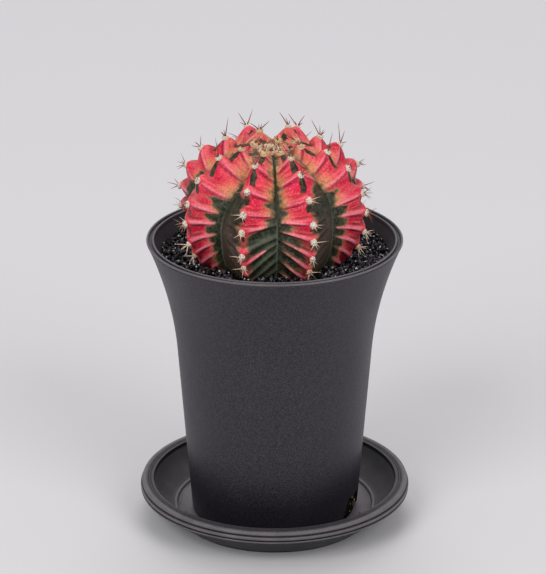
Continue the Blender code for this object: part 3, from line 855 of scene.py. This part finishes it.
def skin_colours(where, points):
    """The values that the skin's material mixes its colours by, among them painted highlights and painted
    shade on the folds.
    """
    across, along, phase, width = where["across"], where["along"], where["phase"], where["width"]
    rib, side = where["rib"], where["side"]
    low = past(along, 30, 44)
    folded = folds_to_furrow(rib, side)
    right_of_2, left_of_3 = folded * (rib == 2), folded * (rib == 3)
    ragged = noise_at(points, 3.2 * MM) + 0.7 * noise_at(points, 1.3 * MM, 1.0)
    ragged += 0.7 * noise_at(points, 6.5 * MM, 6.0)

    fingers = pulse(phase, 0.32, 0.15) * past(along, 24, 30) * (1 - past(along, 36, 44))
    edge = (across - green_start(where) + 0.26 * fingers) * width
    green = edge / ((1.0 + 0.6 * left_of_3 * low) * MM) + 1.25 * ragged
    last_ridge = right_of_2 * np.exp(-(((phase - 8.87) / 0.14) ** 2)) * (1 - smooth_step(0.6, 0.85, across))
    green -= 7.0 * last_ridge

    share = phase % 1.0
    half = (1.1 - 0.6 * past(along, 26, 42) - 0.6 * past(along, 44, 50)) * MM
    half = half * (0.45 + 0.6 * smooth_step(0.0, 0.3, share)) * (1 + 0.5 * noise_at(points, 1.6 * MM, 3.0))
    end = 0.66 - 0.2 * past(along, 22, 34) + 0.1 * noise_at(points, 1.4 * MM, 5.0)
    inside = (half - across * width) / (0.24 * MM), (along - 5 * MM) / (0.5 * MM)
    stripe = np.minimum.reduce([*inside, (share - 0.01) / 0.03, (end - share) / 0.05])
    stripe = np.clip(stripe, -6.0, 3.0) + 0.9 * noise_at(points, 2.4 * MM, 2.0)

    def streaks_at(down, over, seed):
        """Noise drawn out along the folds of each side of each rib."""
        flow = np.stack([phase * down, across * over, rib + 0.5 * np.sign(side)], axis=-1)
        return noise_at(flow, 1.0, seed)

    over_crest = smooth_step(0.05, 0.22, across)
    # A pale line along each ridge: painted highlight.
    line = pulse(phase, 0.96, 0.045 + 0.025 * low) * over_crest * (1 - smooth_step(0.8, 1.0, across))
    # The upward face just above each ridge line, lighter as painted light.
    lit_upper_face = pulse(phase, 0.86, 0.13)
    streaks = streaks_at(7, 1.6, 3.0) + 0.6 * streaks_at(19, 3.0, 7.0)
    # Painted shade: dark under each ridge and in the creases between the lobes.
    shade = pulse(phase, 0.08, 0.05 + 0.03 * low) * (0.3 + 0.7 * low) * over_crest
    shade *= 1 - 0.75 * low * (1 - folded) * smooth_step(0.45, 0.7, across)
    crease_shade = pulse(phase, 0.64 + 0.14 * across, 0.07) * (1 - smooth_step(0.3, 0.6, across))
    crease_shade *= 0.35 + 0.65 * low
    # The face that rises to the next ridge, lighter as painted light in pale and peach.
    face = smooth_step(0.15, 0.75, share) * (1 - smooth_step(0.9, 1.0, share))
    crown = 1 - past(along, 10, 18)
    peach = smooth_step(0.35, 0.85, across) * (0.3 + 0.6 * face) * (1 - 0.6 * low)
    # Dusty pink ridges in the green, lighter on their upper faces as painted highlight.
    dusty_pink_and_highlight = low * left_of_3 * np.clip(0.8 * pulse(phase, 0.95, 0.1) + 0.45 * lit_upper_face, 0, 1)
    # Painted highlight on each ridge line and its upper face, with streaks of the plant's own pink.
    ridge = (0.62 + 0.2 * low) * line + (0.06 + 0.4 * low) * lit_upper_face * over_crest + 0.25 * streaks
    in_brown = ((rib == 2) & (side < 0)) | ((rib == 3) & (side > 0))
    to_furrow = (1 - across) * width
    shares = {
        "ridge": ridge,
        # A deeper red under each ridge: partly the plant's colour, partly painted shade.
        "deep": pulse(phase, 0.07, 0.06 + 0.04 * low) * over_crest - 0.4 * streaks,
        # Lighter on the face that rises to the next ridge, as painted light, over the plant's own pale and
        # peach.
        "pale": 0.32 * face + 0.3 * noise_at(points, 5 * MM, 4.0) + 0.25 * crown + 0.45 * streaks,
        "peach": peach + crown * (0.2 + 0.5 * noise_at(points, 4 * MM, 9.0)),
        # Painted shade.
        "dark": shade + crease_shade,
        "dusty_pink_and_highlight": dusty_pink_and_highlight * (1 - smooth_step(0.62, 0.85, across)),
        # Painted light on the upward faces on the right side of rib 2.
        "light": low * right_of_2 * pulse(phase, 0.78, 0.17) * 0.38,
    }
    return {
        "green": np.clip(green, -6, 6),
        "stripe": stripe,
        "olive": (across - 0.78) * width / (1.5 * MM) + 0.7 * ragged - 3 * low - 1.2 * (1 - folded),
        "brown": 0.8 * low * in_brown,
        "line": 0.7 * past(to_furrow, 0.34, 0.08) * low,
        "seam": past(to_furrow, 0.62, 0.18) * (1 - low) * folded,
        **{name: np.clip(values, 0, 1) for name, values in shares.items()},
    }


def row_lengths():
    """Lengths along the crest of the body's rows: fine down to the gravel, coarse below it."""
    fine = np.linspace(0.25 * MM, FINE_TO, FINE_ROWS)
    coarse = np.linspace(FINE_TO, LENGTHS[-1] - 0.4 * MM, COARSE_ROWS + 1)[1:]
    return np.concatenate([fine, coarse])


def make_body():
    columns = RIBS * COLUMNS_PER_RIB
    lengths = row_lengths()
    count, along = np.meshgrid(np.arange(columns) / COLUMNS_PER_RIB, lengths)
    points, where = skin(count, along)
    colours = skin_colours(where, points)
    lumps = 0.22 * MM * noise_at(points, 5 * MM, 6.0) + 0.05 * MM * noise_at(points, 1.1 * MM, 8.0)
    lumps *= past(along, 1, 6)
    outward = points - np.array([BODY_SHIFT, 0.0, BODY_MIDDLE_Z])
    outward /= np.linalg.norm(outward, axis=-1, keepdims=True)
    points = points + outward * lumps[..., None]

    rows = len(lengths)
    flat = np.concatenate([points.reshape(-1, 3), [points[0].mean(axis=0)], [points[-1].mean(axis=0)]])
    faces = [tuple(face) for face in grid_faces(rows, columns)]
    last = (rows - 1) * columns
    faces += [(rows * columns, i, (i + 1) % columns) for i in range(columns)]
    faces += [(last + (i + 1) % columns, last + i, rows * columns + 1) for i in range(columns)]
    values = {
        name: np.concatenate([value.ravel(), [value[0].mean(), value[-1].mean()]])
        for name, value in colours.items()
    }
    body = mesh_piece("cactus_body", flat, faces, values)
    lay_out(body, rows, columns)
    show(body, skin_look(), "cactus_skin", "cactus")
    return BVHTree.FromPolygons(flat.tolist(), faces)


def lay_out(body, rows, columns):
    """A map of the skin for the baked finish: round the body and down its crests."""
    layer = body.data.uv_layers.new(name="OFBake")
    corners = np.empty(len(body.data.loops), np.int32)
    body.data.loops.foreach_get("vertex_index", corners)
    starts = np.empty(len(body.data.polygons), np.int32)
    body.data.polygons.foreach_get("loop_start", starts)
    sizes = np.diff(np.append(starts, len(corners)))
    column = (corners % columns).astype(float)
    row = corners // columns
    pole = row >= rows
    face_column = np.repeat(np.minimum.reduceat(np.where(pole, columns, column), starts), sizes)
    face_last = np.repeat(np.maximum.reduceat(np.where(pole, -1, column), starts), sizes)
    wraps = (face_last - face_column > columns / 2) & (column < columns / 2) & ~pole
    column[wraps] += columns
    column[pole] = face_column[pole]
    height = np.where(pole, np.where(corners == rows * columns, 0, rows), row + 0.5)
    flat = np.stack([column / columns, 1 - height / (rows + 1)], axis=-1)
    layer.data.foreach_set("uv", flat.astype(np.float32).ravel())


# Areoles and spines


def on_skin(count, along):
    return Vector(skin(np.array([float(count)]), np.array([along]))[0][0])


def areole_frame(rib, along):
    """The areole's middle on the skin, with the directions outward, down the rib and across it."""
    _, normal, tangent = crest_at(along)
    outward, down = (Vector(lean(np.array(around(RIB_AZIMUTHS[rib], *way)))) for way in (normal, tangent))
    return on_skin(rib, along), outward, down, outward.cross(down)


def tube(path, radii, sides):
    """A tapering tube along a path that ends in a point."""
    path = np.asarray(path)
    tangents = np.gradient(path, axis=0)
    tangents /= np.linalg.norm(tangents, axis=1, keepdims=True)
    helper = np.array([1.0, 0.0, 0.0]) if abs(tangents[0][0]) < 0.8 else np.array([0.0, 1.0, 0.0])
    first = np.cross(tangents, helper)
    first /= np.linalg.norm(first, axis=1, keepdims=True)
    second = np.cross(tangents, first)
    angles = TAU * np.arange(sides) / sides
    rings = [
        path[i] + radii[i] * (np.outer(np.cos(angles), first[i]) + np.outer(np.sin(angles), second[i]))
        for i in range(len(path) - 1)
    ]
    points = np.concatenate(rings + [path[-1:], path[:1]])
    faces = [tuple(face) for face in grid_faces(len(path) - 1, sides)]
    tip = len(points) - 2
    last = tip - sides
    faces += [(last + i, tip, last + (i + 1) % sides) for i in range(sides)]
    faces += [((i + 1) % sides, tip + 1, i) for i in range(sides)]
    return points, faces


def add_pad(pads, mould, rng, frame_at, size, tan):
    """A woolly cushion with short fibres that stand out of it."""
    middle, outward, down, across = frame_at
    points, faces = mould
    coarse, fine, flecks = (noise_at(points + rng.uniform(0, 40, 3), lump) for lump in (0.45, 0.17, 0.3))
    lumps = 1 + 0.22 * coarse + 0.16 * fine
    axes = np.array([across, down, outward])
    seat = np.array(middle) + 0.2 * MM * axes[2]
    core = smooth_step(0.16, 0.34, flecks) * rng.uniform(0.35, 1.0) * smooth_step(-0.1, 0.4, points[:, 2])
    pads.add(seat + points * lumps[:, None] * PAD_SHAPE * MM * size @ axes, faces, tan=tan, core=core)
    for _ in range(FIBRES):
        heading = rng.normal(size=3) * (1.0, 1.0, 0.6)
        heading[2] = abs(heading[2]) + 0.1
        heading /= np.linalg.norm(heading)
        start = heading * FIBRE_STARTS * MM * size
        bend = rng.normal(size=3) * 0.1 * MM
        length = rng.uniform(0.2, 0.5) * MM * size
        path = [start, start + heading * length * 0.6 + bend * 0.4, start + heading * length + bend]
        fibre, sides = tube(seat + np.array(path) @ axes, np.array(FIBRE_RADII) * MM, 3)
        pads.add(fibre, sides, tan=tan, core=0.0)


def spine_fan(rng, rib, along):
    """(turn from straight down in degrees, lift off the skin, length in mm) of each spine of an areole."""
    if along < YOUNG_SPINES_TO:
        fan = YOUNG_FAN
    elif along < CROWN_SPINES_TO:
        fan = CROWN_FAN
    else:
        fan = FRONT_FANS.get(rib, SIDE_FAN)
    keep = [spine for spine in fan if rng.random() > 0.1]
    return [
        (turn + rng.normal() * 10, lift + rng.normal() * 0.07, length * rng.uniform(0.82, 1.12))
        for turn, lift, length in keep
    ]


def add_spine(spines, rng, frame_at, turn, lift, length, along, rusty_to=26 * MM):
    """A thin bent spine with a rusty tip, and rusty all along above the length rusty_to from the crown."""
    middle, outward, down, across = (np.array(v) for v in frame_at)
    flat = math.cos(math.radians(turn)) * down + math.sin(math.radians(turn)) * across
    heading = lift * outward + math.sqrt(max(0.05, 1 - lift * lift)) * flat
    heading /= np.linalg.norm(heading)
    bend = (rng.normal() * 0.3 * across + rng.uniform(-0.5, 0.1) * outward) * MM
    start = middle + 0.45 * MM * outward
    length *= MM
    if heading[2] > 0.1:
        length = min(length, (SPINES_TOP_Z - start[2]) / heading[2])
    shares = np.linspace(0, 1, SPINE_STEPS)
    path = [start + heading * length * share + bend * share * share for share in shares]
    thick = (0.15 + 0.06 * past(along, 30, 20)) * MM
    points, faces = tube(path, thick * (1 - shares) ** 0.6, SPINE_SIDES)
    shares = np.concatenate([np.repeat(shares[:-1], SPINE_SIDES), [1.0, 0.0]])
    rust = smooth_step(0.3, 1.0, shares) * (0.15 + 0.75 * past(along, 48, 34))
    rust = np.maximum(rust, 0.95 * smooth_step(rusty_to + 6 * MM, rusty_to, along))
    spines.add(points, faces, rust=rust)


def make_apex(pads, spines, rng, mould):
    """The crowded young areoles at the sunken middle of the crown."""
    for index in range(APEX_AREOLES):
        along = rng.uniform(0.8, 4.6) * MM
        middle = on_skin(index * RIBS / APEX_AREOLES, along)
        outward = Vector(lean(np.array([0.0, 0.0, 1.0])))
        down = Vector((middle.x - BODY_SHIFT, middle.y, 0.0)).normalized()
        frame_at = middle, outward, down, outward.cross(down)
        add_pad(pads, mould, rng, frame_at, rng.uniform(0.8, 1.6), rng.uniform(0.35, 0.9))
        for turn in rng.uniform(0, 360, 2):
            add_spine(spines, rng, frame_at, turn, rng.uniform(0.88, 0.99), rng.uniform(1.6, 3.2), along)


def make_areoles():
    rng = np.random.default_rng(11)
    pads, spines = Bunch(), Bunch()
    mould = ball(4)
    for rib, along in [(rib, place * MM) for rib, row in enumerate(AREOLES) for place in row]:
        frame_at = areole_frame(rib, along)
        if frame_at[0].z <= AREOLE_LOWEST_Z:
            continue
        size = 1.0 + 0.25 * past(along, 14, 6) - 0.16 * past(along, 44, 52)
        tan = 0.7 * past(along, 20, 8) + 0.75 * past(along, 50, 56)
        add_pad(pads, mould, rng, frame_at, size, min(1.0, tan + rng.uniform(0.0, 0.2)))
        for spine in spine_fan(rng, rib, along):
            add_spine(spines, rng, frame_at, *spine, along, (26 if rib in FRONT_RIBS else 42) * MM)
    make_apex(pads, spines, rng, ball(3))
    show(pads.piece("cactus_areoles"), wool_look(), "cactus_skin", "cactus")
    show(spines.piece("cactus_spines"), spine_look(), "cactus_skin", "cactus")


# Roots, mix and gravel


def make_roots():
    """The taproot and five side roots, as rough tapering tubes."""
    curve = bpy.data.curves.new("cactus_roots", "CURVE")
    curve.dimensions = "3D"
    curve.bevel_depth = 1.0
    curve.bevel_resolution = 3
    curve.resolution_u = 24
    curve.use_fill_caps = True
    base_z = BODY_MIDDLE_Z - BODY_DROP
    start_z = base_z - 2 * MM
    routes = [(
        ((0.0, 0.0, base_z + TAPROOT_RADIUS), TAPROOT_RADIUS),
        ((0.4 * MM, 0.0, base_z - 0.3 * TAPROOT_LENGTH), 0.6 * TAPROOT_RADIUS),
        ((-0.6 * MM, 0.8 * MM, base_z - TAPROOT_LENGTH), 0.2 * TAPROOT_RADIUS),
    )]
    routes += [(
        (around(azimuth, SIDE_ROOT_RADIUS, start_z), SIDE_ROOT_RADIUS),
        (around(azimuth + 6, 0.6 * reach * MM, start_z - 0.3 * droop * MM), 0.75 * SIDE_ROOT_RADIUS),
        (around(azimuth, reach * MM, start_z - droop * MM), 0.35 * SIDE_ROOT_RADIUS),
    ) for azimuth, reach, droop in SIDE_ROOTS]
    for route in routes:
        spline = curve.splines.new("BEZIER")
        spline.bezier_points.add(len(route) - 1)
        for point, (place, radius) in zip(spline.bezier_points, route):
            point.co = place
            point.handle_left_type = point.handle_right_type = "AUTO"
            point.radius = radius
    tubes = placed("root_tubes", curve)
    bpy.context.view_layer.update()
    mesh = bpy.data.meshes.new_from_object(tubes.evaluated_get(bpy.context.evaluated_depsgraph_get()))
    bpy.data.objects.remove(tubes, do_unlink=True)
    mesh.shade_smooth()
    roots = placed("cactus_roots", mesh)
    displace(roots, lambda points, normals: normals * 0.12 * MM * noise_at(points, 0.9 * MM)[:, None])
    show(roots, root_look(), "cactus_skin", "cactus")


def crumble(points, normals):
    """An inward shift that makes a surface crumbly."""
    crumbs = 0.5 + 0.5 * noise_at(points, 2.2 * MM) + 0.35 * noise_at(points, 1.0 * MM)
    return normals * -0.55 * MM * np.maximum(0.0, crumbs)[:, None]


def make_mix():
    """Crumbly potting mix in the shape of its CAD solid, with the same room for the roots."""
    mix = remeshed("potting_mix_crumb", "potting_mix", 0.95 * MM)
    displace(mix, crumble)
    mix.data.shade_smooth()
    show(mix, mix_look(), "potting_mix", "potting_mix")


def grain_moulds(rng, count, subdivisions, roughness):
    """Points of some different grains of about radius 1, and the faces that they share."""
    points, faces = ball(subdivisions)
    moulds = []
    for _ in range(count):
        shift = rng.uniform(0, 50, 3)
        lumps = 1 + roughness * noise_at(points + shift, 0.9)
        lumps += 0.4 * roughness * noise_at(points + shift, 0.4)
        flatten = np.array([1.0, rng.uniform(0.7, 1.0), rng.uniform(0.55, 0.85)])
        moulds.append(points * lumps[:, None] * flatten)
    return moulds, faces


def one_grain(rng, moulds, radius):
    """Points of a grain of that radius, turned at random."""
    mould = moulds[rng.integers(len(moulds))]
    basis, _ = np.linalg.qr(rng.normal(size=(3, 3)))
    return mould * radius @ (basis if np.linalg.det(basis) > 0 else -basis)


def scatter(rng, body_tree, tries, heights, sizes, spread):
    """(middle, radius) of grains between the pot's wall and the plant, a little apart from each other."""
    kept = np.empty((0, 4))
    wall = pot_outer_radius(GRAVEL_TOP_Z - POT_FOOT_Z) - POT_WALL
    low_z, high_z = (GRAVEL_TOP_Z + height * MM for height in heights)
    for _ in range(tries):
        radius = rng.uniform(*sizes) * MM
        reach = wall - radius * 0.9
        distance = math.sqrt(rng.uniform((0.55 * wall) ** 2, reach**2))
        angle = rng.uniform(0, TAU)
        spot = Vector((distance * math.sin(angle), -distance * math.cos(angle), rng.uniform(low_z, high_z)))
        near = body_tree.find_nearest(spot)
        if (spot - near[0]).dot(near[1]) < 0.75 * radius:
            continue
        gaps = np.linalg.norm(kept[:, :3] - np.array(spot), axis=1) - spread * (kept[:, 3] + radius)
        if len(gaps) and gaps.min() < 0:
            continue
        kept = np.vstack([kept, [*spot, radius]])
    return kept


def sink(points, normals):
    """A drop of the gravel bed's upper face to under the grains."""
    is_upper = points[:, 2] > GRAVEL_BOTTOM_Z + 1.5 * MM
    drop = np.where(is_upper, 1.9 * MM + 0.5 * MM * noise_at(points, 1.1 * MM), 0.0)
    return drop[:, None] * np.array([0.0, 0.0, -1.0])


def make_gravel(body_tree):
    """Two layers of grains on a dark bed in the shape of the CAD solid, but lower and rough at its top."""
    rng = np.random.default_rng(5)
    moulds, faces = grain_moulds(rng, 24, 1, 0.45)
    top, under = Bunch(), Bunch()
    for layer, settings in ((under, UNDER_GRAINS), (top, TOP_GRAINS)):
        for *middle, radius in scatter(rng, body_tree, *settings):
            grain = one_grain(rng, moulds, radius)
            layer.add(np.array(middle) + grain, faces, tone=rng.random() ** 4)
    look = gravel_look()
    for layer, name in ((top, "gravel_grains_top"), (under, "gravel_grains_under")):
        show(layer.piece(name, smooth=False), look, "black_gravel", "gravel_top_dressing")
    bed = remeshed("gravel_bed", "gravel_top_dressing", 0.8 * MM)
    displace(bed, sink)
    write_values(bed.data, "tone", np.zeros(len(bed.data.vertices)))
    bed.data.shade_smooth()
    show(bed, look, "black_gravel", "gravel_top_dressing")


def notch_plug(azimuth):
    """Points and faces of the mix that fills a drain notch, a little short of the pot's outside."""
    shape = bmesh.new()
    bmesh.ops.create_cube(shape, size=2.0)
    bmesh.ops.subdivide_edges(shape, edges=shape.edges[:], cuts=9, use_grid_fill=True)
    cube, faces = points_and_faces(shape)
    points = []
    for spread, depth, rise in cube:
        height = (0.1 * MM + NOTCH_HEIGHT) * (rise + 1) / 2
        half_width = blend(NOTCH_HALF_WIDTH_FOOT, NOTCH_HALF_WIDTH_TOP, height / NOTCH_HEIGHT)
        distance = POT_FOOT_RADIUS - (0.9 + 2.2 * (1 - depth)) * MM
        turn = math.degrees(half_width * spread / POT_FOOT_RADIUS)
        points.append(around(azimuth + turn, distance, POT_FOOT_Z + 0.1 * MM + 0.95 * height))
    points = np.array(points)
    return points + 0.12 * MM * noise_at(points, 0.8 * MM)[:, None], faces


def make_crumbs():
    """Grains of the mix that show in the notches and the few that lie on the saucer's floor."""
    rng = np.random.default_rng(8)
    moulds, faces = grain_moulds(rng, 6, 2, 0.35)
    crumbs = Bunch()

    def lay(azimuth, distance, bottom, radius):
        grain = one_grain(rng, moulds, radius)
        place = around(azimuth, distance, bottom - grain[:, 2].min())
        crumbs.add(np.array(place) + grain, faces, tone=rng.random() ** 16)

    for azimuth in NOTCH_AZIMUTHS:
        points, plug_faces = notch_plug(azimuth)
        crumbs.add(points, plug_faces, tone=0.0)
        for _ in range(NOTCH_CRUMBS):
            height = rng.uniform(0.1, 6.3)
            spread = rng.uniform(-1, 1) * (17.5 - 0.85 * height)
            distance = rng.uniform(24.8, 25.5) * MM
            lay(azimuth + spread, distance, POT_FOOT_Z + height * MM, rng.uniform(0.3, 0.6) * MM)
    for _ in range(FLOOR_CRUMBS):
        azimuth, distance = rng.uniform(0, 360), rng.uniform(27.6, 30.4)
        floor_z = SAUCER_FLOOR_Z + 0.18 * (distance - 27.5) * MM
        lay(azimuth, distance * MM, floor_z, rng.uniform(0.14, 0.3) * MM)
    show(crumbs.piece("mix_crumbs", smooth=False), crumb_look(), "potting_mix", "potting_mix")


# Stage


def make_stage():
    """A plain pale floor, soft light from all round and three lamps."""
    mesh = bpy.data.meshes.new("floor")
    shape = bmesh.new()
    bmesh.ops.create_circle(shape, cap_ends=True, segments=96, radius=6.0)
    shape.to_mesh(mesh)
    shape.free()
    floor = placed("floor", mesh)
    mesh.materials.append(Look("pale_floor", 0.75, 0.2).finish((209, 207, 209)))

    world = bpy.data.worlds.new("studio")
    bpy.context.scene.world = world
    world.use_nodes = True
    background = world.node_tree.nodes["Background"]
    background.inputs["Color"].default_value = (0.97, 0.97, 1.0, 1.0)
    background.inputs["Strength"].default_value = 0.48

    lamp("key_light", (-0.9, -1.3, 1.25), 1.1, 17.0)
    lamp("fill_light", (1.05, -1.3, 1.2), 1.1, 14.0)
    lamp("back_light", (0.0, 1.3, 1.9), 1.6, 17.0)


def lamp(name, place, size, power):
    """A round lamp that shines at the pot."""
    data = bpy.data.lights.new(name, "AREA")
    data.shape = "DISK"
    data.size = size
    data.energy = power
    made = placed(name, data)
    made.location = place
    made.rotation_euler = (Vector((0, 0, 0.06)) - Vector(place)).to_track_quat("-Z", "Y").to_euler()


def make_camera():
    data = bpy.data.cameras.new("camera")
    data.lens = CAMERA_LENS
    data.sensor_width = 36.0
    camera = placed("camera", data)
    camera.location = CAMERA_PLACE
    camera.rotation_euler = (math.radians(90 - CAMERA_ELEVATION), 0.0, 0.0)
    bpy.context.scene.camera = camera
    bpy.context.scene.view_settings.view_transform = "Standard"


make_camera()
make_stage()
make_saucer()
make_pot()
body_tree = make_body()
make_areoles()
make_roots()
make_mix()
make_gravel(body_tree)
make_crumbs()
